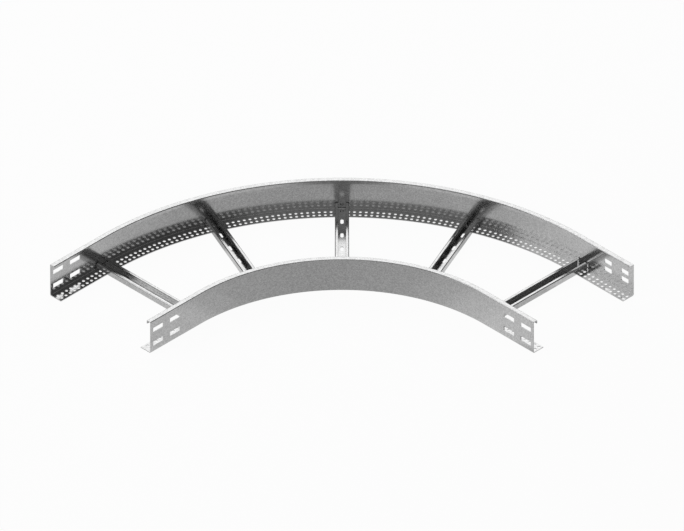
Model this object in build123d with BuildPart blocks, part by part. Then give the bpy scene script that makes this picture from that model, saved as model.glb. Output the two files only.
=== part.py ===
"""Ninety degree cable ladder bend: two folded side rails joined by five slotted channel rungs."""
from build123d import *
import os
from math import cos, floor, radians, sin

os.makedirs("parts", exist_ok=True)

# Driving dimensions of the whole bend, in millimetres and degrees.
rail_height = 80.0
overall_width = 300.0
inner_face_radius = 420.0
turn_angle = 90.0
straight_length = 150.0

# Folded side rails: web, bottom flange, top flange and its short downturned lip.
# Each fold is drawn with one flat at its outside and a sharp inside corner.
rail_sheet = 2.0
rail_fold_flat = 2.0
inner_bottom_flange_width = 30.0
outer_bottom_flange_width = 32.5
top_flange_width = 12.0
top_lip_height = 8.0

# Two rows of small holes along each bottom flange, drawn six-sided. The rows keep
# their distance from the flange's edge. Each rail has its own pitch, measured
# along the web's face from the end along X.
small_hole_across = 6.0
small_hole_sides = 6
small_hole_row_from_edge = 7.0
small_hole_row_gap = 11.0
inner_hole_pitch = 12.7
inner_first_hole_from_end = 13.5
outer_hole_pitch = 12.64
outer_first_hole_from_end = 9.3

# Slots for the joining plates, two by two in the web at both ends of each rail.
joint_slot_width = 10.5
joint_slot_pitch = 50.0
joint_slots_below_middle = 1.0
long_slot_length = 32.0
long_slot_from_end = 22.5
long_slot_row_gap = 35.0
short_slot_length = 23.0
short_slot_from_end = 25.0
short_slot_row_gap = 20.0

# Rungs: channels that lie on the bottom flanges with their open side up.
rung_count = 5
rung_sheet = 1.5
rung_fold_flat = 1.5
rung_width = 30.0
rung_height = 15.0
rung_mouth = 17.0
rung_end_clearance = 1.0
rung_slot_length = 17.0
rung_slot_width = 7.0
rung_slot_pitch = 50.0
rung_slot_count = 5
rung_slots_inward = 2.4

# Places worked out from the sizes above. The bend's centre is set off so that
# the origin lies under the middle of the whole outline.
outer_face_radius = inner_face_radius + overall_width
centre_offset = (straight_length - outer_face_radius) / 2
bend_centre = Vector(centre_offset, centre_offset, 0)
bend_plane = Plane(bend_centre)
bend_axis = Axis(bend_centre, (0, 0, -1))
middle_radius = (inner_face_radius + outer_face_radius) / 2
rung_start_radius = inner_face_radius + rail_sheet + rung_end_clearance
rung_end_radius = outer_face_radius - rail_sheet - rung_end_clearance
rail_cut_depth = 2 * rail_sheet
rung_cut_depth = 2 * rung_sheet

# At one end the rails run along X and at the other along Y. Each end's section
# is drawn across the rails at the end of the arc, looking out along the straight.
x_end_section = Plane(bend_centre, x_dir=(0, 1, 0), z_dir=(1, 0, 0))
y_end_section = Plane(bend_centre, x_dir=(1, 0, 0), z_dir=(0, -1, 0))


def folded_section(plane, corners, sheet, fold_flat):
    """Draws a folded sheet's section from the corners of its outer face."""
    with BuildSketch(plane) as section:
        with BuildLine():
            Polyline(*corners)
            offset(amount=sheet, side=Side.LEFT, kind=Kind.INTERSECTION)
        make_face()
        folds = [section.vertices().sort_by_distance(corner)[0] for corner in corners[1:-1]]
        chamfer(folds, length=fold_flat)
    return section.sketch


def rail_corners(face_radius, into_tray, bottom_flange_width):
    """Lists the outer corners of a rail's section, measured from the bend's centre."""
    lip_radius = face_radius + into_tray * top_flange_width
    edge_radius = face_radius + into_tray * bottom_flange_width
    corners = [
        (lip_radius, rail_height - top_lip_height),
        (lip_radius, rail_height),
        (face_radius, rail_height),
        (face_radius, 0),
        (edge_radius, 0),
    ]
    return corners if into_tray > 0 else corners[::-1]


def rail_place(face_radius, row_radius, distance):
    """Gives a point of a hole row from its distance along the web's face past the arc's start."""
    turn = max(0, min(distance / face_radius, radians(turn_angle)))
    beyond_arc = distance - turn * face_radius
    x_place = row_radius * sin(turn) + beyond_arc * cos(turn)
    y_place = row_radius * cos(turn) - beyond_arc * sin(turn)
    return (x_place, y_place)


def small_holes(face_radius, into_tray, flange_width, hole_pitch, first_hole_from_end):
    """Draws the two rows of small holes, along both straights and the arc."""
    rail_length = 2 * straight_length + face_radius * radians(turn_angle)
    hole_count = floor((rail_length - first_hole_from_end) / hole_pitch) + 1
    first_distance = first_hole_from_end - straight_length
    distances = [first_distance + number * hole_pitch for number in range(hole_count)]
    edge_row_from_web = flange_width - small_hole_row_from_edge
    with BuildSketch(bend_plane) as holes:
        for row_from_web in (edge_row_from_web - small_hole_row_gap, edge_row_from_web):
            row_radius = face_radius + into_tray * row_from_web
            with Locations(*[rail_place(face_radius, row_radius, distance) for distance in distances]):
                RegularPolygon(small_hole_across / 2, small_hole_sides, major_radius=False)
    return holes.sketch


def joint_slots(end_web, length, from_end, row_gap):
    """Draws the two by two slots for a joining plate near one end of a rail's web."""
    middle = (from_end + joint_slot_pitch / 2, rail_height / 2 - joint_slots_below_middle)
    with BuildSketch(end_web) as slots:
        with Locations(middle):
            with GridLocations(joint_slot_pitch, row_gap, 2, 2):
                SlotOverall(length, joint_slot_width)
    return slots.sketch


def x_end_web(face_radius):
    """Gives the plane of a web's face at the end along X, measured from that end."""
    origin = bend_centre + Vector(-straight_length, face_radius, 0)
    return Plane(origin, x_dir=(1, 0, 0), z_dir=(0, -1, 0))


def y_end_web(face_radius):
    """Gives the plane of a web's face at the end along Y, measured from that end."""
    origin = bend_centre + Vector(face_radius, -straight_length, 0)
    return Plane(origin, x_dir=(0, 1, 0), z_dir=(1, 0, 0))


long_slots = (long_slot_length, long_slot_from_end, long_slot_row_gap)
short_slots = (short_slot_length, short_slot_from_end, short_slot_row_gap)
inner_holes = (inner_bottom_flange_width, inner_hole_pitch, inner_first_hole_from_end)
outer_holes = (outer_bottom_flange_width, outer_hole_pitch, outer_first_hole_from_end)

# Inner side rail, flanges pointing out from the bend's centre into the tray.
inner_corners = rail_corners(inner_face_radius, 1, inner_bottom_flange_width)
inner_x_section = folded_section(x_end_section, inner_corners, rail_sheet, rail_fold_flat)
inner_y_section = folded_section(y_end_section, inner_corners, rail_sheet, rail_fold_flat)
inner_small_holes = small_holes(inner_face_radius, 1, *inner_holes)
inner_x_slots = joint_slots(x_end_web(inner_face_radius), *long_slots)
inner_y_slots = joint_slots(y_end_web(inner_face_radius), *long_slots)
with BuildPart() as inner_side_rail:
    revolve(inner_x_section, axis=bend_axis, revolution_arc=turn_angle)
    extrude(inner_x_section, amount=-straight_length)
    extrude(inner_y_section, amount=straight_length)
    extrude(inner_x_slots, amount=rail_cut_depth, both=True, mode=Mode.SUBTRACT)
    extrude(inner_y_slots, amount=rail_cut_depth, both=True, mode=Mode.SUBTRACT)
    extrude(inner_small_holes, amount=rail_cut_depth, both=True, mode=Mode.SUBTRACT)
inner_side_rail.part.label = "inner_side_rail"
export_step(inner_side_rail.part, "parts/inner_side_rail.step")

# Outer side rail, flanges pointing towards the bend's centre. Its end along Y
# has the shorter, closer slots of the other joining plate.
outer_corners = rail_corners(outer_face_radius, -1, outer_bottom_flange_width)
outer_x_section = folded_section(x_end_section, outer_corners, rail_sheet, rail_fold_flat)
outer_y_section = folded_section(y_end_section, outer_corners, rail_sheet, rail_fold_flat)
outer_small_holes = small_holes(outer_face_radius, -1, *outer_holes)
outer_x_slots = joint_slots(x_end_web(outer_face_radius), *long_slots)
outer_y_slots = joint_slots(y_end_web(outer_face_radius), *short_slots)
with BuildPart() as outer_side_rail:
    revolve(outer_x_section, axis=bend_axis, revolution_arc=turn_angle)
    extrude(outer_x_section, amount=-straight_length)
    extrude(outer_y_section, amount=straight_length)
    extrude(outer_x_slots, amount=rail_cut_depth, both=True, mode=Mode.SUBTRACT)
    extrude(outer_y_slots, amount=rail_cut_depth, both=True, mode=Mode.SUBTRACT)
    extrude(outer_small_holes, amount=rail_cut_depth, both=True, mode=Mode.SUBTRACT)
outer_side_rail.part.label = "outer_side_rail"
export_step(outer_side_rail.part, "parts/outer_side_rail.step")

# Rungs, spread evenly over the arc and pointing at its centre. Each one lies
# on both bottom flanges and stops just short of the webs.
rung_lip = (rung_width - rung_mouth) / 2
rung_corners = [
    (-rung_width / 2 + rung_lip, rung_height),
    (-rung_width / 2, rung_height),
    (-rung_width / 2, 0),
    (rung_width / 2, 0),
    (rung_width / 2, rung_height),
    (rung_width / 2 - rung_lip, rung_height),
]
for number in range(rung_count):
    turn = radians(turn_angle * number / (rung_count - 1))
    outward = Vector(sin(turn), cos(turn), 0)
    across = Vector(-cos(turn), sin(turn), 0)
    seat = Vector(0, 0, rail_sheet)
    section_plane = Plane(bend_centre + outward * rung_start_radius + seat, across, outward)
    slots_middle = outward * (middle_radius - rung_slots_inward)
    floor_plane = Plane(bend_centre + slots_middle + seat, outward, (0, 0, 1))
    with BuildPart() as rung:
        folded_rung = folded_section(section_plane, rung_corners, rung_sheet, rung_fold_flat)
        extrude(folded_rung, amount=rung_end_radius - rung_start_radius)
        with BuildSketch(floor_plane):
            with GridLocations(rung_slot_pitch, 0, rung_slot_count, 1):
                SlotOverall(rung_slot_length, rung_slot_width)
        extrude(amount=rung_cut_depth, both=True, mode=Mode.SUBTRACT)
    rung.part.label = f"rung_{number + 1}"
    export_step(rung.part, f"parts/rung_{number + 1}.step")
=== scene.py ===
"""Dresses the cable ladder bend as folded, punched and galvanised sheet steel.

The folded rails and rungs are rebuilt here from the frame's own sizes with true
bend radii, round holes and exact corner normals, so that their long reflections
run cleanly along the arcs.
"""

import logging
import math
from abc import ABC, abstractmethod
from dataclasses import dataclass
from enum import Enum
from typing import Any, Iterable, NamedTuple

import bpy
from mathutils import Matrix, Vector
from mathutils.geometry import delaunay_2d_cdt


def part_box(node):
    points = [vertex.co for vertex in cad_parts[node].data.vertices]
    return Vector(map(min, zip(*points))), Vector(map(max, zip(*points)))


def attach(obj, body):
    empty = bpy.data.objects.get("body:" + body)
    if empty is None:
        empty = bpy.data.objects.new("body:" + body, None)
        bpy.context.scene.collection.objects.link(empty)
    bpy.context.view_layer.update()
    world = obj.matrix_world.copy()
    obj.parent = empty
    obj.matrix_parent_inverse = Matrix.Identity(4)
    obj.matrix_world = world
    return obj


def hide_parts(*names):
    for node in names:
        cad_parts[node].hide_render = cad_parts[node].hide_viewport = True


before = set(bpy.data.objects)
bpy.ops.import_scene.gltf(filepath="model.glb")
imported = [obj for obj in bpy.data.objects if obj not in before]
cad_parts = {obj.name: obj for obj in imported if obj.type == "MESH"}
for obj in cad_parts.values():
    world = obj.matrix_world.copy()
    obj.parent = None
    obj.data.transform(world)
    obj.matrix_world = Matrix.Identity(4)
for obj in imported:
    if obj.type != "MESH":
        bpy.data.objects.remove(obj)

LOG = logging.getLogger("ladder_bend")
MILLIMETRE = 0.001
UP = Vector((0.0, 0.0, 1.0))
WELD_STEPS = 2e6  # Points are welded where they agree to one of so many steps in a metre.
FILL_INSIDE = 1  # Asks for the triangles inside the outlines only.
FILL_TOLERANCE = 1e-4  # In millimetres.

Tree = bpy.types.NodeTree
Socket = bpy.types.NodeSocket
Spots = list[tuple[float, float]]
Stops = tuple[tuple[float, float], ...]


class Corner(NamedTuple):
    """One corner of a face or of a section, with the surface's own direction there."""

    point: Vector
    normal: Vector


class Side(Enum):
    """The two faces of a folded sheet."""

    OUTSIDE = "outside of the folds"
    INSIDE = "inside of the folds"


class Path(ABC):
    """A line along which a folded section runs."""

    @abstractmethod
    def axes(self, distance: float) -> tuple[Vector, Vector, Vector]:
        """Finds a place on the line, the line's direction there and the offsets' direction."""

    def point(self, distance: float, offset: float, height: float) -> Vector:
        """Gives the point at a distance along the line, an offset across it and a height."""
        foot, _, across = self.axes(distance)
        return foot + across * offset + UP * height

    def direction(self, distance: float, along: float, offset: float, height: float) -> Vector:
        """Turns shares along, across and over the line at a distance into a direction."""
        _, forward, across = self.axes(distance)
        return forward * along + across * offset + UP * height


@dataclass(frozen=True)
class RailPath(Path):
    """A rail's web face in plan: a straight along X, an arc and a straight along Y.

    Attributes:
        centre: Centre of the bend on the floor.
        face_radius: Radius of the web's outer face on the arc.
        straight: Length of each straight end.
        turn: Angle of the arc.
        into_tray: 1 where the flanges point away from the centre, otherwise -1.
    """

    centre: Vector
    face_radius: float
    straight: float
    turn: float
    into_tray: int

    @property
    def arc_length(self) -> float:
        """Length of the arc along the web's outer face."""
        return self.face_radius * self.turn

    def axes(self, distance: float) -> tuple[Vector, Vector, Vector]:
        """Finds a place on the web's outer face.

        Args:
            distance: Distance past the arc's start, negative on the straight along X.

        Returns:
            The place, the direction along the rail and the direction into the tray.
        """
        turn = max(0.0, min(distance / self.face_radius, self.turn))
        along = Vector((math.cos(turn), -math.sin(turn), 0.0))
        outward = Vector((math.sin(turn), math.cos(turn), 0.0))
        beyond = distance - turn * self.face_radius
        foot = self.centre + outward * self.face_radius + along * beyond
        return foot, along, outward * self.into_tray


@dataclass(frozen=True)
class StraightPath(Path):
    """A straight line, used for the rungs.

    Attributes:
        start: Point where distances count from.
        along: Direction of the line.
        across: Direction of the offsets.
    """

    start: Vector
    along: Vector
    across: Vector

    def axes(self, distance: float) -> tuple[Vector, Vector, Vector]:
        """Finds a place on the line."""
        return self.start + self.along * distance, self.along, self.across


class SheetMesh:
    """Gathers faces with exact corner normals and welds them into one mesh."""

    def __init__(self) -> None:
        """Starts an empty mesh."""
        self._index: dict[tuple[int, ...], int] = {}
        self._points: list[Vector] = []
        self._faces: list[list[int]] = []
        self._normals: list[Vector] = []

    def _vertex(self, point: Vector) -> int:
        """Finds or adds a vertex.

        Args:
            point: Place of the vertex.

        Returns:
            Its number.
        """
        key = tuple(round(value * WELD_STEPS) for value in point)
        if key not in self._index:
            self._index[key] = len(self._points)
            self._points.append(point)
        return self._index[key]

    def face(self, corners: Iterable[Corner]) -> None:
        """Adds one face, wound to agree with its corner normals.

        Args:
            corners: The face's corners in order.
        """
        ring: list[tuple[int, Vector]] = []
        for corner in corners:
            number = self._vertex(corner.point)
            if not ring or number != ring[-1][0]:
                ring.append((number, corner.normal))
        if ring and ring[0][0] == ring[-1][0]:
            ring.pop()
        if len(ring) < 3:
            return
        origin = self._points[ring[0][0]]
        area = Vector()
        for (second, _), (third, _) in zip(ring[1:], ring[2:]):
            area += (self._points[second] - origin).cross(self._points[third] - origin)
        if area.dot(sum((normal for _, normal in ring), Vector())) < 0:
            ring.reverse()
        self._faces.append([number for number, _ in ring])
        self._normals.extend(normal for _, normal in ring)

    def faces(self, many: Iterable[Iterable[Corner]]) -> None:
        """Adds several faces, each from its corners in order."""
        for corners in many:
            self.face(corners)

    def build(self, name: str, material: bpy.types.Material) -> bpy.types.Object:
        """Makes the object and links it to the scene.

        Args:
            name: Name of the object.
            material: Its finish.

        Returns:
            The new object.
        """
        mesh = bpy.data.meshes.new(name)
        mesh.from_pydata([tuple(point) for point in self._points], [], self._faces)
        mesh.polygons.foreach_set("use_smooth", [True] * len(mesh.polygons))
        mesh.normals_split_custom_set([tuple(normal) for normal in self._normals])
        mesh.materials.append(material)
        mesh.update()
        piece = bpy.data.objects.new(name, mesh)
        bpy.context.scene.collection.objects.link(piece)
        LOG.info("%s: %d faces", name, len(mesh.polygons))
        return piece


def quads(one: list, other: list, closed: bool = False) -> list[list]:
    """Joins two lines of points into a row of four-cornered faces, or into a closed ring."""
    one, other = (one + one[:1], other + other[:1]) if closed else (one, other)
    return [list(four) for four in zip(one, one[1:], other[1:], other)]


class Strip(NamedTuple):
    """A band of the section between two of its points, and the leg whose flat it is."""

    first: Corner
    second: Corner
    leg: int | None = None


@dataclass(frozen=True)
class FoldedSection:
    """The section of a folded sheet, all of whose folds turn the same way by a right angle.

    Attributes:
        corners: Corners of the outer side, as offset and height.
        sheet: Sheet thickness.
        folds: Radii at the outside and the inside of each fold in turn.
        fold_steps: Number of facets in each fold.
        edge_round: Size of the small rounding on both free edges.
    """

    corners: list[tuple[float, float]]
    sheet: float
    folds: list[tuple[float, float]]
    fold_steps: int = 6
    edge_round: float = 0.2 * MILLIMETRE

    def leg(self, number: int) -> tuple[Vector, Vector]:
        """Gives the direction along a numbered leg and the direction to its inner side."""
        along = (Vector(self.corners[number + 1]) - Vector(self.corners[number])).normalized()
        return along, Vector((-along.y, along.x))

    def leg_ends(self, number: int, side: Side = Side.OUTSIDE) -> tuple[Vector, Vector]:
        """Gives one side of a leg between its folds or free edges.

        Args:
            number: The leg, counted from the first corner.
            side: The side of the sheet.

        Returns:
            The points where the flat part starts and ends.
        """
        along, inward = self.leg(number)
        outside = side is Side.OUTSIDE
        reaches = [outer if outside else self.sheet + inner for outer, inner in self.folds]
        gaps = [self.edge_round, *reaches, self.edge_round]
        lift = inward * (0.0 if outside else self.sheet)
        first = Vector(self.corners[number]) + along * gaps[number] + lift
        last = Vector(self.corners[number + 1]) - along * gaps[number + 1] + lift
        return first, last

    def strips(self) -> list[Strip]:
        """Lists the bands all round the section.

        Returns:
            The flat legs, the folds and the two free edges.
        """
        bands: list[Strip] = []
        legs = len(self.corners) - 1
        for number in range(legs):
            _, inward = self.leg(number)
            for side, sign in ((Side.OUTSIDE, -1), (Side.INSIDE, 1)):
                places = [Corner(spot, inward * sign) for spot in self.leg_ends(number, side)]
                bands.append(Strip(*places, number))
        for number in range(1, legs):
            bands.extend(self._fold(number))
        bands.extend(self._free_edge(0, 0))
        bands.extend(self._free_edge(legs - 1, 1))
        return bands

    def _rays(self, number: int) -> list[Vector]:
        """Gives the directions to the inner side all through one fold.

        Args:
            number: The corner that the fold rounds.

        Returns:
            The direction at each edge of its facets.
        """
        _, before = self.leg(number - 1)
        _, after = self.leg(number)
        turns = [step / self.fold_steps * math.pi / 2 for step in range(self.fold_steps + 1)]
        return [before * math.cos(turn) + after * math.sin(turn) for turn in turns]

    def _arcs(self, number: int) -> list[list[Vector]]:
        """Gives the points of one fold.

        Args:
            number: The corner that the fold rounds.

        Returns:
            The line along its outside and the line along its inside.
        """
        bisector = self.leg(number - 1)[1] + self.leg(number)[1]
        outer, inner = self.folds[number - 1]
        arcs = []
        for radius, reach in ((outer, outer), (inner, self.sheet + inner)):
            centre = Vector(self.corners[number]) + bisector * reach
            arcs.append([centre - ray * radius for ray in self._rays(number)])
        return arcs

    def _fold(self, number: int) -> list[Strip]:
        """Lists the bands of one fold.

        Args:
            number: The corner that the fold rounds.

        Returns:
            The facets at its outside and its inside.
        """
        rays = self._rays(number)
        bands = []
        for arc, sign in zip(self._arcs(number), (-1, 1)):
            places = [Corner(point, ray * sign) for point, ray in zip(arc, rays)]
            bands.extend(map(Strip, places, places[1:]))
        return bands

    def _free_edge(self, number: int, end: int) -> list[Strip]:
        """Lists the bands over one free edge of the sheet.

        Args:
            number: The leg that the edge ends.
            end: 0 for the leg's start or 1 for its end.

        Returns:
            The edge face and the small rounding on both sides of it.
        """
        along, inward = self.leg(number)
        out = along if end else -along
        normals = [-inward, out, out, inward]
        places = list(map(Corner, self._edge_points(number, end), normals))
        return list(map(Strip, places, places[1:]))

    def _edge_points(self, number: int, end: int) -> list[Vector]:
        """Gives the outline of one free edge.

        Args:
            number: The leg that the edge ends.
            end: 0 for the leg's start or 1 for its end.

        Returns:
            The ends of the small roundings, from the outside to the inside.
        """
        _, inward = self.leg(number)
        tip = Vector(self.corners[number + end])
        flat = self.leg_ends(number)[end]
        points = [flat, tip + inward * self.edge_round, tip + inward * (self.sheet - self.edge_round)]
        return [*points, flat + inward * self.sheet]

    def cap(self, number: int, cuts: list[float]) -> list[Spots]:
        """Divides the section's own area into simple pieces, to close a cut end.

        Args:
            number: The leg to give, each with the fold that follows it.
            cuts: Distances from the leg's flat start at which it is divided.

        Returns:
            Outlines as lists of offset and height.
        """
        along, inward = self.leg(number)
        start, end = self.leg_ends(number)
        inner_start, inner_end = self.leg_ends(number, Side.INSIDE)
        stops = [start + along * cut for cut in cuts]
        inner_stops = [stop + inward * self.sheet for stop in stops]
        pieces = quads([start, *stops, end], [inner_start, *inner_stops, inner_end])
        last = len(self.corners) - 2
        if number < last:
            pieces += quads(*self._arcs(number + 1))
        if number == 0:
            pieces.append(self._edge_points(number, 0))
        if number == last:
            pieces.append(self._edge_points(number, 1))
        return [[(point.x, point.y) for point in piece] for piece in pieces]


def filled_outline(loops: list[Spots]) -> tuple[Spots, list[list[int]]]:
    """Divides a flat outline with rounded, bulging holes into triangles.

    Args:
        loops: The outline, followed by the outline of each hole.

    Returns:
        The points, and the triangles as numbers of points.
    """
    spots = [spot for loop in loops for spot in loop]
    edges = []
    owners = []
    for hole, loop in enumerate(loops):
        first = len(edges)
        count = len(loop)
        edges += [(first + number, first + (number + 1) % count) for number in range(count)]
        owners += [hole] * count
    scaled = [Vector(spot) / MILLIMETRE for spot in spots]
    result = delaunay_2d_cdt(scaled, edges, [], FILL_INSIDE, FILL_TOLERANCE)
    sources = [source[0] for source in result[3]]
    triangles = []
    for triangle in result[2]:
        corners = [sources[number] for number in triangle]
        holes = {owners[corner] for corner in corners}
        if len(holes) > 1 or holes == {0}:
            triangles.append(corners)
    return spots, triangles


@dataclass(frozen=True)
class Slot:
    """A slot in one leg of a section.

    Attributes:
        distance: Distance of its middle along the path.
        across: Distance of its middle along the leg, from the leg's flat start.
        length: Length along the path, end to end.
        width: Width across.
        corner: Radius of its four corners.
    """

    distance: float
    across: float
    length: float
    width: float
    corner: float

    def outline(self, corner_steps: int = 6) -> list[tuple[float, float, float, float]]:
        """Gives the slot's outline.

        Args:
            corner_steps: Number of facets in each corner.

        Returns:
            Distances, places across and the directions into the slot.
        """
        half_length = self.length / 2 - self.corner
        half_width = self.width / 2 - self.corner
        outline = []
        for quarter, (side, edge) in enumerate(((1, 1), (-1, 1), (-1, -1), (1, -1))):
            for step in range(corner_steps + 1):
                turn = (quarter + step / corner_steps) * math.pi / 2
                along, across = math.cos(turn), math.sin(turn)
                distance = self.distance + side * half_length + self.corner * along
                place = self.across + edge * half_width + self.corner * across
                outline.append((distance, place, -along, -across))
        return outline


@dataclass
class Sweep:
    """A folded section run along a path, whose faces go into a mesh."""

    section: FoldedSection
    path: Path
    mesh: SheetMesh

    def corner(self, distance: float, place: Corner) -> Corner:
        """Places a point of the section at a distance along the path."""
        normal = self.path.direction(distance, 0.0, *place.normal)
        return Corner(self.path.point(distance, *place.point), normal)

    def band(self, strip: Strip, stations: list[float]) -> None:
        """Adds a row of faces along one band.

        Args:
            strip: The band of the section.
            stations: Distances between which the faces lie.
        """
        places = (strip.first, strip.second)
        lines = [[self.corner(spot, place) for spot in stations] for place in places]
        self.mesh.faces(quads(*lines))

    def close(self, distance: float, facing: int, last_leg_cuts: Iterable[float] = ()) -> None:
        """Closes a cut end of the sheet.

        Args:
            distance: Distance of the end along the path.
            facing: 1 where the end faces along the path, otherwise -1.
            last_leg_cuts: Distances from the last leg's flat start at which its faces are divided.
        """
        normal = self.path.direction(distance, float(facing), 0.0, 0.0)
        last = len(self.section.corners) - 2
        for leg in range(last + 1):
            for outline in self.section.cap(leg, list(last_leg_cuts) if leg == last else []):
                self.mesh.face([Corner(self.path.point(distance, *place), normal) for place in outline])

    def slotted(self, leg: int, stations: list[float], slots: list[Slot]) -> None:
        """Adds both faces of a flat leg with its slots, and the slots' walls.

        Args:
            leg: The leg of the section.
            stations: Distances along the leg, from one end to the other.
            slots: The slots in it.
        """
        along, inward = self.section.leg(leg)
        start, _ = self.section.leg_ends(leg)
        holes = [[spot[:2] for spot in slot.outline()] for slot in slots]
        for side, shift, sign in ((Side.OUTSIDE, 0.0, -1), (Side.INSIDE, self.section.sheet, 1)):
            near, far = [(spot - start).dot(along) for spot in self.section.leg_ends(leg, side)]
            rim = [(distance, near) for distance in stations]
            rim += [(distance, far) for distance in reversed(stations)]
            spots, triangles = filled_outline([rim, *holes])
            low = start + inward * shift
            corners = []
            for distance, across in spots:
                corners.append(self.corner(distance, Corner(low + along * across, inward * sign)))
            self.mesh.faces([corners[number] for number in triangle] for triangle in triangles)
        for slot in slots:
            sides = (start, start + inward * self.section.sheet)
            rims = [self._slot_rim(slot, side, along) for side in sides]
            self.mesh.faces(quads(*rims, closed=True))

    def _slot_rim(self, slot: Slot, start: Vector, along: Vector) -> list[Corner]:
        """Places one rim of a slot's wall.

        Args:
            slot: The slot.
            start: Flat start of the leg, on the rim's side of the sheet.
            along: Direction along the leg.

        Returns:
            The corners, each facing into the slot.
        """
        rim = []
        for distance, across, wall_along, wall_across in slot.outline():
            spot = start + along * across
            wall = along * wall_across
            normal = self.path.direction(distance, wall_along, wall.x, wall.y)
            rim.append(Corner(self.path.point(distance, spot.x, spot.y), normal))
        return rim


def add_node(tree: Tree, kind: str, inputs: dict, **settings: str) -> bpy.types.Node:
    """Adds a node to a material.

    Args:
        tree: The material's node tree.
        kind: Type of the node.
        inputs: What each of its inputs takes, a value or another node's socket.
        settings: Its own settings.

    Returns:
        The node.
    """
    node = tree.nodes.new(kind)
    for name, value in settings.items():
        setattr(node, name, value)
    for name, value in inputs.items():
        if isinstance(value, Socket):
            tree.links.new(value, node.inputs[name])
        else:
            node.inputs[name].default_value = value
    return node


@dataclass(frozen=True)
class GalvanisedSteel:
    """Bright galvanised sheet: a clean metal with fine zinc grain.

    Attributes:
        name: Name of the material.
        colour: Colour of the zinc.
        grain: Share by which the colour varies from grain to grain.
        grain_size: Size of one grain in metres.
        roughness: Blur of its reflections.
        roughness_spread: How far the blur varies.
        clouds: How many clouds of grains lie in the length of one grain.
        cloud_detail: How finely the clouds are broken up.
    """

    name: str
    colour: tuple[float, float, float]
    grain: float = 0.30
    grain_size: float = 2.4 * MILLIMETRE
    roughness: float = 0.17
    roughness_spread: float = 0.04
    clouds: float = 0.8
    cloud_detail: float = 3.0

    def build(self) -> bpy.types.Material:
        """Makes the material.

        Returns:
            The new material.
        """
        material = bpy.data.materials.new(self.name)
        material.use_nodes = True
        tree = material.node_tree
        shader = tree.nodes["Principled BSDF"]
        shader.inputs["Metallic"].default_value = 1.0
        shader.inputs["Base Color"].default_value = (*self.colour, 1.0)
        shader.inputs["Roughness"].default_value = self.roughness
        place = add_node(tree, "ShaderNodeTexCoord", {}).outputs["Object"]
        grains = {"Vector": place, "Scale": 1 / self.grain_size}
        clouds = {"Vector": place, "Scale": self.clouds / self.grain_size, "Detail": self.cloud_detail}
        grain = add_node(tree, "ShaderNodeTexVoronoi", grains).outputs["Color"]
        cloud = add_node(tree, "ShaderNodeTexNoise", clouds).outputs["Fac"]
        split = add_node(tree, "ShaderNodeSeparateColor", {"Color": grain}).outputs["Red"]
        both = add_node(tree, "ShaderNodeMath", {0: split, 1: cloud}, operation="ADD")
        shade = self._spread(tree, both.outputs["Value"], 1.0, self.grain)
        blur = self._spread(tree, both.outputs["Value"], self.roughness, self.roughness_spread)
        tint = add_node(tree, "ShaderNodeVectorMath", {0: self.colour, "Scale": shade}, operation="SCALE")
        tree.links.new(tint.outputs["Vector"], shader.inputs["Base Color"])
        tree.links.new(blur, shader.inputs["Roughness"])
        return material

    def _spread(self, tree: Tree, source: Socket, middle: float, reach: float) -> Socket:
        """Spreads the sum of grain and cloud, from 0 to 2, evenly round a middle value."""
        limits = {"From Min": 0.0, "From Max": 2.0, "To Min": middle - reach, "To Max": middle + reach}
        return add_node(tree, "ShaderNodeMapRange", {"Value": source, **limits}).outputs["Result"]


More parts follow.
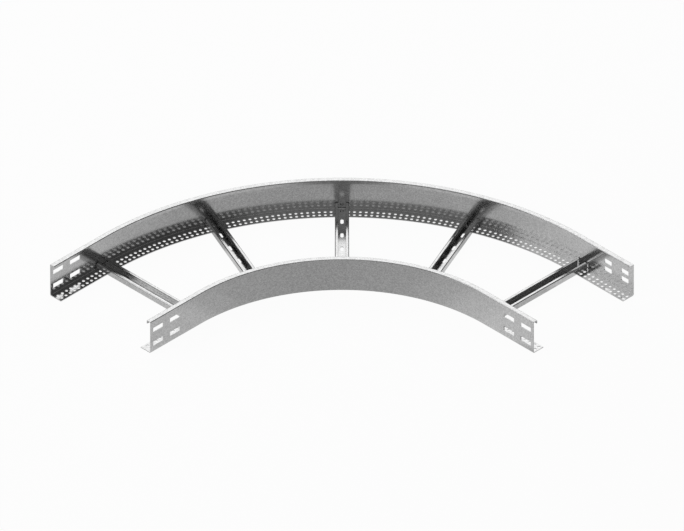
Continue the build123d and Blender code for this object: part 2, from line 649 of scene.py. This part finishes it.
@dataclass(frozen=True)
class SideRail:
    """One folded side rail with its punched flange and joint slots.

    Attributes:
        node: The frame's node that it stands for.
        path: Line of its web's outer face.
        bottom_flange: Width of the bottom flange from the web's outer face.
        x_end_slots: Length, distance from the end and row gap of the slots at the end along X.
        y_end_slots: The same at the end along Y.
        height: Height of the rail.
        hole_pitch: Distance from hole to hole along the web's face.
        first_hole: Distance of the first hole from the end along X.
        sheet: Sheet thickness.
        top_fold: Radii at the outside and the inside of the two upper folds.
        bottom_fold: The same of the fold at the bottom flange.
        top_flange: Width of the top flange.
        top_lip: Height of the lip that hangs from it.
        hole: Diameter of the small holes.
        hole_row_from_edge: Distance of the outer row of holes from the flange's edge.
        hole_row_gap: Distance between the two rows.
        slot_width: Width of the joint slots.
        slot_corner: Radius of their corners.
        slot_pitch: Distance from slot to slot along the rail.
        slots_below_middle: How far the slots sit below the web's middle.
        steps: Number of rows of points for each hole.
        slotted_cells: Number of holes along which the web is built with its joint slots.
        first_spoke: Direction of the first point of each hole, in degrees from the rail's own.
    """

    node: str
    path: RailPath
    bottom_flange: float
    x_end_slots: tuple[float, float, float]
    y_end_slots: tuple[float, float, float]
    height: float
    hole_pitch: float
    first_hole: float
    sheet: float = 2.0 * MILLIMETRE
    top_fold: tuple[float, float] = (1.8 * MILLIMETRE, 0.3 * MILLIMETRE)
    bottom_fold: tuple[float, float] = (3.6 * MILLIMETRE, 1.6 * MILLIMETRE)
    top_flange: float = 12.0 * MILLIMETRE
    top_lip: float = 8.0 * MILLIMETRE
    hole: float = 6.8 * MILLIMETRE
    hole_row_from_edge: float = 7.0 * MILLIMETRE
    hole_row_gap: float = 11.0 * MILLIMETRE
    slot_width: float = 10.5 * MILLIMETRE
    slot_corner: float = 1.0 * MILLIMETRE
    slot_pitch: float = 50.0 * MILLIMETRE
    slots_below_middle: float = 1.0 * MILLIMETRE
    steps: int = 6
    slotted_cells: int = 8
    first_spoke: float = 225.0

    WEB = 2
    FLANGE = 3

    def section(self) -> FoldedSection:
        """Gives the rail's section, from its lip to the edge of its bottom flange.

        Returns:
            The section.
        """
        corners = [
            (self.top_flange, self.height - self.top_lip),
            (self.top_flange, self.height),
            (0.0, self.height),
            (0.0, 0.0),
            (self.bottom_flange, 0.0),
        ]
        return FoldedSection(corners, self.sheet, [self.top_fold, self.top_fold, self.bottom_fold])

    def hole_distances(self) -> list[float]:
        """Lists the small holes along the rail.

        Returns:
            Distances past the arc's start.
        """
        length = 2 * self.path.straight + self.path.arc_length
        count = math.floor((length - self.first_hole) / self.hole_pitch) + 1
        start = self.first_hole - self.path.straight
        return [start + number * self.hole_pitch for number in range(count)]

    def stations(self) -> list[float]:
        """Lists the rows of points along the rail, the same number for each hole.

        Returns:
            Distances past the arc's start.
        """
        holes = self.hole_distances()
        limits = [-self.path.straight]
        limits += [(first + second) / 2 for first, second in zip(holes, holes[1:])]
        limits.append(self.path.arc_length + self.path.straight)
        rows = [limits[0]]
        for start, end in zip(limits, limits[1:]):
            rows += [start + (end - start) * step / self.steps for step in range(1, self.steps + 1)]
        return rows

    def joint_slots(self, kind: tuple[float, float, float], end: float, inward: int) -> list[Slot]:
        """Places the two by two slots near one end.

        Args:
            kind: Length, distance from the end and row gap.
            end: Distance of the rail's end past the arc's start.
            inward: 1 if the rail runs on from this end, otherwise -1.

        Returns:
            The four slots.
        """
        length, from_end, row_gap = kind
        flat_top = self.height - self.top_fold[0]
        middle = flat_top - (self.height / 2 - self.slots_below_middle)
        slots = []
        for number in range(2):
            distance = end + inward * (from_end + number * self.slot_pitch)
            for row in (-1, 1):
                across = middle + row * row_gap / 2
                slots.append(Slot(distance, across, length, self.slot_width, self.slot_corner))
        return slots

    def build(self, material: bpy.types.Material) -> bpy.types.Object:
        """Builds the rail.

        Args:
            material: Its finish.

        Returns:
            The rail's object.
        """
        section = self.section()
        rows = self.stations()
        sweep = Sweep(section, self.path, SheetMesh())
        reach = self.slotted_cells * self.steps
        for strip in section.strips():
            if strip.leg != self.FLANGE:
                sweep.band(strip, rows[reach:-reach] if strip.leg == self.WEB else rows)
        sweep.slotted(self.WEB, rows[: reach + 1], self.joint_slots(self.x_end_slots, rows[0], 1))
        sweep.slotted(self.WEB, rows[-reach - 1 :], self.joint_slots(self.y_end_slots, rows[-1], -1))
        self._punched_flange(sweep.mesh, rows)
        flat_start = section.leg_ends(self.FLANGE)[0].x
        divisions = [spot - flat_start for _, across in self.flange_bands() for spot in across[1:]]
        sweep.close(rows[0], -1, divisions[:-1])
        sweep.close(rows[-1], 1, divisions[:-1])
        piece = sweep.mesh.build(f"{self.node}_sheet", material)
        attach(piece, "root")
        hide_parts(self.node)
        return piece

    def flange_bands(self) -> list[tuple[float, list[float]]]:
        """Divides the flat of the bottom flange into one band for each row of holes.

        Returns:
            The row's offset and the offsets of the band's points, for both rows.
        """
        start, end = self.section().leg_ends(self.FLANGE)
        edge_row = self.bottom_flange - self.hole_row_from_edge
        web_row = edge_row - self.hole_row_gap
        between_rows = (web_row + edge_row) / 2
        bands = []
        for row, near, far in ((web_row, start.x, between_rows), (edge_row, between_rows, end.x)):
            across = [near + (far - near) * step / self.steps for step in range(self.steps + 1)]
            bands.append((row, across))
        return bands

    def _punched_flange(self, mesh: SheetMesh, rows: list[float]) -> None:
        """Adds both faces of the bottom flange round every small hole, and the holes' walls.

        Args:
            mesh: The mesh that takes the faces.
            rows: Distances of the rows of points.
        """
        bands = self.flange_bands()
        for number, distance in enumerate(self.hole_distances()):
            first = number * self.steps
            cell = rows[first : first + self.steps + 1]
            for row, across in bands:
                rim = [(spot, across[0]) for spot in cell]
                rim += [(cell[-1], spot) for spot in across[1:]]
                rim += [(spot, across[-1]) for spot in reversed(cell[:-1])]
                rim += [(cell[0], spot) for spot in reversed(across[1:-1])]
                self._punched_cell(mesh, distance, row, rim)

    def _punched_cell(self, mesh: SheetMesh, distance: float, row: float, rim: Spots) -> None:
        """Adds the flange round one small hole.

        Args:
            mesh: The mesh that takes the faces.
            distance: Distance of the hole past the arc's start.
            row: Distance of the hole from the web's outer face.
            rim: Distances and offsets of the cell's outline.
        """
        middle = self.path.point(distance, row, 0.0)
        spokes = []
        for number in range(len(rim)):
            turn = math.radians(self.first_spoke) + 2 * math.pi * number / len(rim)
            spokes.append(self.path.direction(distance, math.cos(turn), math.sin(turn), 0.0))
        walls = []
        for height, normal in ((0.0, -UP), (self.sheet, UP)):
            ring = [middle + spoke * (self.hole / 2) + UP * height for spoke in spokes]
            outer = [Corner(self.path.point(*spot, height), normal) for spot in rim]
            inner = [Corner(point, normal) for point in ring]
            mesh.faces(quads(outer, inner, closed=True))
            walls.append([Corner(point, -spoke) for point, spoke in zip(ring, spokes)])
        mesh.faces(quads(*walls, closed=True))


@dataclass(frozen=True)
class Rung:
    """One channel rung with slots in its floor.

    Attributes:
        node: The frame's node that it stands for.
        turn: Angle from the arc's start.
        centre: Centre of the bend on the floor.
        start: Radius of its inner end.
        end: Radius of its outer end.
        seat: Height of its underside.
        width: Width of the channel.
        height: Height of the channel.
        mouth: Width of the open side.
        sheet: Sheet thickness.
        fold_radius: Radius at the inside of the folds.
        slot_length: Length of a slot.
        slot_width: Width of a slot.
        slot_pitch: Distance from slot to slot.
        slot_count: Number of slots.
        slots_inward: How far the slots' middle lies inwards of the rung's middle.
    """

    node: str
    turn: float
    centre: Vector
    start: float
    end: float
    seat: float
    width: float = 30.0 * MILLIMETRE
    height: float = 15.0 * MILLIMETRE
    mouth: float = 17.0 * MILLIMETRE
    sheet: float = 1.5 * MILLIMETRE
    fold_radius: float = 1.0 * MILLIMETRE
    slot_length: float = 17.0 * MILLIMETRE
    slot_width: float = 7.0 * MILLIMETRE
    slot_pitch: float = 50.0 * MILLIMETRE
    slot_count: int = 5
    slots_inward: float = 2.4 * MILLIMETRE

    FLOOR = 2

    @property
    def outward(self) -> Vector:
        """Direction from the bend's centre along the rung."""
        return Vector((math.sin(self.turn), math.cos(self.turn), 0.0))

    def section(self) -> FoldedSection:
        """Gives the rung's section, from lip to lip.

        Returns:
            The section.
        """
        half, gap = self.width / 2, self.mouth / 2
        corners = [(-gap, self.height), (-half, self.height), (-half, 0.0)]
        corners += [(half, 0.0), (half, self.height), (gap, self.height)]
        fold = (self.sheet + self.fold_radius, self.fold_radius)
        return FoldedSection(corners, self.sheet, [fold] * (len(corners) - 2))

    def slots(self) -> list[Slot]:
        """Places the slots of the floor.

        Returns:
            The slots.
        """
        middle = (self.start + self.end) / 2 - self.slots_inward
        first = middle - (self.slot_count - 1) / 2 * self.slot_pitch
        across = self.width / 2 - self.sheet - self.fold_radius
        spots = [first + number * self.slot_pitch for number in range(self.slot_count)]
        round_end = self.slot_width / 2
        return [Slot(spot, across, self.slot_length, self.slot_width, round_end) for spot in spots]

    def build(self, material: bpy.types.Material) -> bpy.types.Object:
        """Builds the rung.

        Args:
            material: Its finish.

        Returns:
            The rung's object.
        """
        section = self.section()
        across = Vector((-math.cos(self.turn), math.sin(self.turn), 0.0))
        foot = self.centre + UP * self.seat
        rows = [self.start, self.end]
        sweep = Sweep(section, StraightPath(foot, self.outward, across), SheetMesh())
        for strip in section.strips():
            if strip.leg != self.FLOOR:
                sweep.band(strip, rows)
        sweep.slotted(self.FLOOR, rows, self.slots())
        sweep.close(self.start, -1)
        sweep.close(self.end, 1)
        piece = sweep.mesh.build(f"{self.node}_channel", material)
        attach(piece, "root")
        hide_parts(self.node)
        return piece


@dataclass(frozen=True)
class Rivet:
    """A low round rivet that holds one end of a rung to the flange under it.

    Attributes:
        head_radius: Radius of its head.
        head_height: Height of its head.
        rim_height: Height of the head's rim.
        shank_radius: Radius of its shank.
        dimple: Radius of the small dimple in the head.
        dimple_floor: Radius and height of the dimple's floor, as shares of dimple and head.
        dimple_middle: Height of the dimple's middle, as a share of the head's height.
        crown_steps: Number of facets from the dimple to the rim.
        facets: Number of facets round it.
    """

    head_radius: float = 3.9 * MILLIMETRE
    head_height: float = 1.5 * MILLIMETRE
    rim_height: float = 0.25 * MILLIMETRE
    shank_radius: float = 2.9 * MILLIMETRE
    dimple: float = 1.2 * MILLIMETRE
    dimple_floor: tuple[float, float] = (0.6, 0.74)
    dimple_middle: float = 0.72
    crown_steps: int = 6
    facets: int = 32

    def profile(self, grip: float) -> Spots:
        """Gives the turned outline, from the head's dimple to the shank's foot.

        Args:
            grip: Thickness of the sheets that it holds.

        Returns:
            Radii and heights over the upper sheet.
        """
        floor_radius, floor_height = self.dimple_floor
        outline = [(0.0, self.head_height * self.dimple_middle)]
        outline.append((self.dimple * floor_radius, self.head_height * floor_height))
        for step in range(self.crown_steps + 1):
            share = step / self.crown_steps
            radius = self.dimple + (self.head_radius - self.dimple) * share
            outline.append((radius, self.head_height * (1 - share**3) + self.rim_height * share**3))
        outline += [(self.head_radius, 0.0), (self.shank_radius, 0.0)]
        return outline + [(self.shank_radius, -grip), (0.0, -grip)]

    def add(self, mesh: SheetMesh, top: Vector, grip: float) -> None:
        """Adds one rivet to a mesh.

        Args:
            mesh: The mesh that takes the faces.
            top: Point on the upper sheet under the middle of the head.
            grip: Thickness of the sheets that it holds.
        """
        outline = self.profile(grip)
        turns = [2 * math.pi * facet / self.facets for facet in range(self.facets)]
        rays = [Vector((math.cos(turn), math.sin(turn), 0.0)) for turn in turns]
        for ends in zip(outline, outline[1:]):
            (radius_1, height_1), (radius_2, height_2) = ends
            slope = Vector((height_1 - height_2, radius_2 - radius_1)).normalized()
            normals = [ray * slope.x + UP * slope.y for ray in rays]
            rings = []
            for radius, height in ends:
                points = [top + ray * radius + UP * height for ray in rays]
                rings.append([Corner(*pair) for pair in zip(points, normals)])
            mesh.faces(quads(*rings, closed=True))


def show(name: str, data: bpy.types.ID, place: Vector, towards: Vector) -> bpy.types.Object:
    """Puts a camera or a lamp into the scene.

    Args:
        name: Its name.
        data: Its own settings.
        place: Where it stands.
        towards: Where it points.

    Returns:
        The new object.
    """
    thing = bpy.data.objects.new(name, data)
    thing.location = place
    thing.rotation_mode = "QUATERNION"
    thing.rotation_quaternion = towards.to_track_quat("-Z", "Y")
    bpy.context.scene.collection.objects.link(thing)
    return thing


@dataclass(frozen=True)
class IsometricCamera:
    """A camera with parallel rays that looks down on the bend from its inner side.

    Attributes:
        metres_per_pixel: Width of the scene that one picture column takes in.
        columns: Number of picture columns.
        rows_above: Picture rows from the bend's centre up to the picture's own.
        azimuth: Angle round the object, in degrees.
        elevation: Angle over the horizon, in degrees.
        distance: Distance of the camera from what it looks at.
    """

    metres_per_pixel: float = 2.1075 * MILLIMETRE
    columns: int = 684
    rows_above: float = 140.2
    azimuth: float = -45.0
    elevation: float = 35.2644
    distance: float = 6.0

    def build(self, bend_centre: Vector) -> None:
        """Makes the camera and sets it as the scene's own.

        Args:
            bend_centre: Centre of the bend on the floor.
        """
        turn, tilt = math.radians(self.azimuth), math.radians(self.elevation)
        right = Vector((math.cos(turn), math.sin(turn), 0.0))
        level = Vector((math.sin(turn), -math.cos(turn), 0.0))
        back = level * math.cos(tilt) + UP * math.sin(tilt)
        up = back.cross(right)
        data = bpy.data.cameras.new("camera")
        data.type = "ORTHO"
        data.ortho_scale = self.columns * self.metres_per_pixel
        rise = self.rows_above * self.metres_per_pixel
        place = bend_centre + up * rise + back * self.distance
        bpy.context.scene.camera = show("camera", data, place, -back)


@dataclass(frozen=True)
class SoftBox:
    """A large soft lamp.

    Attributes:
        name: Name of the lamp.
        azimuth: Direction from the object to the lamp, in degrees from +X.
        elevation: Height of that direction over the horizon, in degrees.
        radiance: Brightness of the lamp's surface, where 1 is white.
        size: Width and height of the lamp.
        distance: Distance of the lamp from the object.
    """

    name: str
    azimuth: float
    elevation: float
    radiance: float
    size: tuple[float, float]
    distance: float = 4.0

    def build(self) -> None:
        """Makes the lamp."""
        turn, tilt = math.radians(self.azimuth), math.radians(self.elevation)
        level = math.cos(tilt)
        towards = Vector((math.cos(turn) * level, math.sin(turn) * level, math.sin(tilt)))
        data = bpy.data.lights.new(self.name, "AREA")
        data.shape = "RECTANGLE"
        data.size, data.size_y = self.size
        data.energy = self.radiance * math.pi * self.size[0] * self.size[1]
        show(self.name, data, towards * self.distance, -towards).visible_camera = False


@dataclass(frozen=True)
class Studio:
    """A white floor that also glows with a painted reflection for the metal, a grey room and soft boxes.

    Attributes:
        centre: Point of the floor round which its painted reflection turns.
        room_brightness: Brightness of the room all round.
        floor_size: Width of the floor.
        floor_drop: How far the floor lies under the object.
        floor_grey: Colour of the matt floor that takes the light.
        white_and_painted_reflection_share: Share of the floor's look that glows, plain white to the camera
            and the painted reflection to the metal.
        painted_reflection: Painted reflection, how bright the floor glows for the metal's reflections
            only, by the angle from +Y towards +X.
        tray_painted_reflection: The same painted reflection between the rails, which the rungs' walls
            mirror.
        tray: Radii between which the tray's own painted reflection holds.
        tray_fades: Lengths over which it fades at the smaller and the larger radius.
        boxes: The lamps.
    """

    centre: Vector
    room_brightness: float = 0.15
    floor_size: float = 30.0
    floor_drop: float = 0.5 * MILLIMETRE
    floor_grey: float = 0.85
    # Share of the floor's glow: plain white to the camera, the painted reflection to the metal.
    white_and_painted_reflection_share: float = 0.96
    # Painted reflection: the floor glows darker towards the bend's middle and brighter at its ends, which
    # paints the webs darker in the middle.
    painted_reflection: Stops = (
        *((-12.0, 0.86), (2.0, 0.84), (10.0, 0.70), (20.0, 0.61), (38.0, 0.57)),
        *((58.0, 0.61), (70.0, 0.70), (82.0, 0.88), (92.0, 0.99)),
    )
    # Painted reflection between the rails: brighter beside the second and fourth rungs and dark at 45
    # degrees, which paints the rungs' walls.
    tray_painted_reflection: Stops = (
        *((0.0, 0.94), (20.0, 1.0), (34.0, 0.80), (43.0, 0.25), (47.0, 0.25)),
        *((56.0, 0.80), (70.0, 1.0), (80.0, 0.96), (90.0, 0.80)),
    )
    tray: tuple[float, float] = (0.436, 0.600)
    tray_fades: tuple[float, float] = (0.015, 0.035)
    boxes: tuple[SoftBox, ...] = (
        SoftBox("back_soft_box", 45.0, 38.0, 1.6, (3.4, 3.0)),
        SoftBox("left_soft_box", 137.0, 38.0, 1.7, (3.1, 2.6)),
        SoftBox("front_soft_box", -143.0, 45.0, 0.30, (5.0, 4.2)),
    )

    def build(self) -> None:
        """Makes the floor, the room and the lamps."""
        world = bpy.data.worlds.new("room")
        world.use_nodes = True
        background = world.node_tree.nodes["Background"]
        background.inputs["Color"].default_value = (1.0, 1.0, 1.0, 1.0)
        background.inputs["Strength"].default_value = self.room_brightness
        bpy.context.scene.world = world
        for box in self.boxes:
            box.build()
        self._floor()

    def _floor(self) -> None:
        """Makes the floor."""
        half = self.floor_size / 2
        mesh = bpy.data.meshes.new("floor")
        corners = [(-half, -half, 0.0), (half, -half, 0.0), (half, half, 0.0), (-half, half, 0.0)]
        mesh.from_pydata(corners, [], [(0, 1, 2, 3)])
        mesh.materials.append(self._floor_finish())
        floor = bpy.data.objects.new("floor", mesh)
        floor.location = self.centre - UP * self.floor_drop
        bpy.context.scene.collection.objects.link(floor)

    def _floor_finish(self) -> bpy.types.Material:
        """Makes the floor's material: matt, plain white where the camera looks at it, and the painted
        reflection where the metal mirrors it.

        Returns:
            The new material.
        """
        material = bpy.data.materials.new("white_floor_painted_reflection")
        material.use_nodes = True
        tree = material.node_tree
        tree.nodes.clear()
        grey = (self.floor_grey, self.floor_grey, self.floor_grey, 1.0)
        matt = add_node(tree, "ShaderNodeBsdfDiffuse", {"Color": grey}).outputs["BSDF"]
        rays = add_node(tree, "ShaderNodeLightPath", {}).outputs
        mirrored = {0: rays["Is Glossy Ray"], 1: rays["Is Transmission Ray"]}
        mirrored = add_node(tree, "ShaderNodeMath", mirrored, operation="MAXIMUM").outputs["Value"]
        seen = {0: rays["Is Camera Ray"], 1: mirrored}
        seen = add_node(tree, "ShaderNodeMath", seen, operation="MAXIMUM").outputs["Value"]
        share = {0: seen, 1: self.white_and_painted_reflection_share}
        share = add_node(tree, "ShaderNodeMath", share, operation="MULTIPLY").outputs["Value"]
        # Painted reflection: the glow's strength is 1 for camera rays and the painted ramp by angle and
        # radius for glossy rays.
        strength = self._blend(tree, mirrored, 1.0, self._painted_reflection(tree))
        glow = add_node(tree, "ShaderNodeEmission", {"Strength": strength}).outputs["Emission"]
        mix = add_node(tree, "ShaderNodeMixShader", {"Fac": share, 1: matt, 2: glow}).outputs["Shader"]
        add_node(tree, "ShaderNodeOutputMaterial", {"Surface": mix})
        return material

    def _painted_reflection(self, tree: Tree) -> Socket:
        """Makes the painted reflection: the floor's glow for the metal, brighter or darker by the angle
        and the radius round the bend's centre.

        Args:
            tree: The floor's node tree.

        Returns:
            The socket that gives the brightness.
        """
        place = add_node(tree, "ShaderNodeTexCoord", {}).outputs["Object"]
        angle = add_node(tree, "ShaderNodeTexGradient", {"Vector": place}, gradient_type="RADIAL")
        radius = add_node(tree, "ShaderNodeVectorMath", {0: place}, operation="LENGTH")
        low, high = self.tray
        low_fade, high_fade = self.tray_fades
        band = [(low - low_fade, 0.0), (low, 1.0), (high, 1.0), (high + high_fade, 0.0)]
        inside = self._ramp(tree, radius.outputs["Value"], band)
        ramps = []
        # Painted reflection ramps, one outside the tray and one between the rails.
        for painted_reflection in (self.painted_reflection, self.tray_painted_reflection):
            stops = [(0.5 + (90.0 - turn) / 360.0, bright) for turn, bright in painted_reflection]
            ramps.append(self._ramp(tree, angle.outputs["Fac"], stops))
        return self._blend(tree, inside, *ramps)

    def _blend(self, tree: Tree, share: Socket, first: Any, second: Any) -> Socket:
        """Adds a node that goes from the first value to the second by a share."""
        inputs = {"Factor": share, "A": first, "B": second}
        return add_node(tree, "ShaderNodeMix", inputs, data_type="FLOAT").outputs["Result"]

    def _ramp(self, tree: Tree, source: Socket, stops: Spots) -> Socket:
        """Adds a soft ramp of greys.

        Args:
            tree: The node tree.
            source: The value that picks a place on the ramp.
            stops: Places between 0 and 1 and the brightness at each.

        Returns:
            The socket that gives the brightness.
        """
        ramp = add_node(tree, "ShaderNodeValToRGB", {"Fac": source})
        ramp.color_ramp.interpolation = "EASE"
        stops = sorted(stops)
        elements = ramp.color_ramp.elements
        while len(elements) < len(stops):
            elements.new(0.5)
        for element, (place, _) in zip(elements, stops):
            element.position = place
        for element, (_, bright) in zip(elements, stops):
            element.color = (bright, bright, bright, 1.0)
        return ramp.outputs["Color"]


@dataclass(frozen=True)
class LadderBend:
    """The whole bend: two side rails, five rungs and their rivets.

    Attributes:
        finish: Finish of all its steel.
        rungs: Number of rungs.
        turn: Angle of the bend.
        rung_end_gap: How much further the rungs' ends stay off the webs than their solids do.
        rivet_from_face: Distance of the rivets from the rails' outer faces.
        rivet_short: How far the rivets' feet stay above the flanges' undersides.
        inner_flange: Width of the inner rail's bottom flange.
        outer_flange: Width of the outer rail's bottom flange.
        long_slots: Length, distance from the end and row gap of the common joint slots.
        short_slots: The same for the outer rail's end along Y.
        inner_holes: Pitch and first distance of the inner rail's small holes.
        outer_holes: The same for the outer rail.
    """

    finish: GalvanisedSteel = GalvanisedSteel("zinc_coat", (0.475, 0.475, 0.475))
    rungs: int = 5
    turn: float = math.pi / 2
    rung_end_gap: float = 1.5 * MILLIMETRE
    rivet_from_face: float = 14.5 * MILLIMETRE
    rivet_short: float = 0.1 * MILLIMETRE
    inner_flange: float = 30.0 * MILLIMETRE
    outer_flange: float = 32.5 * MILLIMETRE
    long_slots: tuple[float, float, float] = (0.0302, 0.0225, 0.035)
    short_slots: tuple[float, float, float] = (0.0214, 0.025, 0.020)
    inner_holes: tuple[float, float] = (12.7 * MILLIMETRE, 13.5 * MILLIMETRE)
    outer_holes: tuple[float, float] = (12.64 * MILLIMETRE, 9.3 * MILLIMETRE)

    def centre(self) -> Vector:
        """Finds the bend's centre from the two end rungs.

        Returns:
            The centre on the floor.
        """
        first_low, first_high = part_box("rung_1")
        last_low, last_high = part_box(f"rung_{self.rungs}")
        return Vector(((first_low.x + first_high.x) / 2, (last_low.y + last_high.y) / 2, 0.0))

    def build(self) -> int:
        """Builds every piece.

        Returns:
            The number of pieces.
        """
        zinc = self.finish.build()
        centre = self.centre()
        _, inner_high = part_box("inner_side_rail")
        outer_low, outer_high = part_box("outer_side_rail")
        inner_radius = inner_high.y - centre.y - self.inner_flange
        outer_radius = outer_high.y - centre.y
        straight = centre.x - outer_low.x
        inner_path = RailPath(centre, inner_radius, straight, self.turn, 1)
        outer_path = RailPath(centre, outer_radius, straight, self.turn, -1)
        inner_slots = (self.long_slots, self.long_slots, inner_high.z)
        outer_slots = (self.long_slots, self.short_slots, outer_high.z)
        inner = SideRail("inner_side_rail", inner_path, self.inner_flange, *inner_slots, *self.inner_holes)
        outer = SideRail("outer_side_rail", outer_path, self.outer_flange, *outer_slots, *self.outer_holes)
        pieces = [inner.build(zinc), outer.build(zinc)]
        low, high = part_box("rung_1")
        start, end = low.y - centre.y + self.rung_end_gap, high.y - centre.y - self.rung_end_gap
        for number in range(self.rungs):
            turn = self.turn * number / (self.rungs - 1)
            rung = Rung(f"rung_{number + 1}", turn, centre, start, end, low.z)
            pieces += [rung.build(zinc), self._rivets(rung, inner_radius, outer_radius, zinc)]
        return len(pieces)

    def _rivets(
        self, rung: Rung, inner_radius: float, outer_radius: float, steel: bpy.types.Material
    ) -> bpy.types.Object:
        """Builds the two rivets of one rung.

        Args:
            rung: The rung.
            inner_radius: Radius of the inner rail's outer face.
            outer_radius: Radius of the outer rail's outer face.
            steel: Their finish.

        Returns:
            One object with both rivets.
        """
        mesh = SheetMesh()
        top = rung.seat + rung.sheet
        for radius in (inner_radius + self.rivet_from_face, outer_radius - self.rivet_from_face):
            Rivet().add(mesh, rung.centre + rung.outward * radius + UP * top, top - self.rivet_short)
        piece = mesh.build(f"{rung.node}_rivets", steel)
        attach(piece, "root")
        return piece


def main() -> None:
    """Builds the dressed model, its studio and its camera."""
    logging.basicConfig(level=logging.INFO)
    bpy.context.scene.view_settings.view_transform = "Standard"
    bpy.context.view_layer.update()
    bend = LadderBend()
    LOG.info("%d pieces", bend.build())
    Studio(bend.centre()).build()
    IsometricCamera().build(bend.centre())


if __name__ == "__main__":
    main()
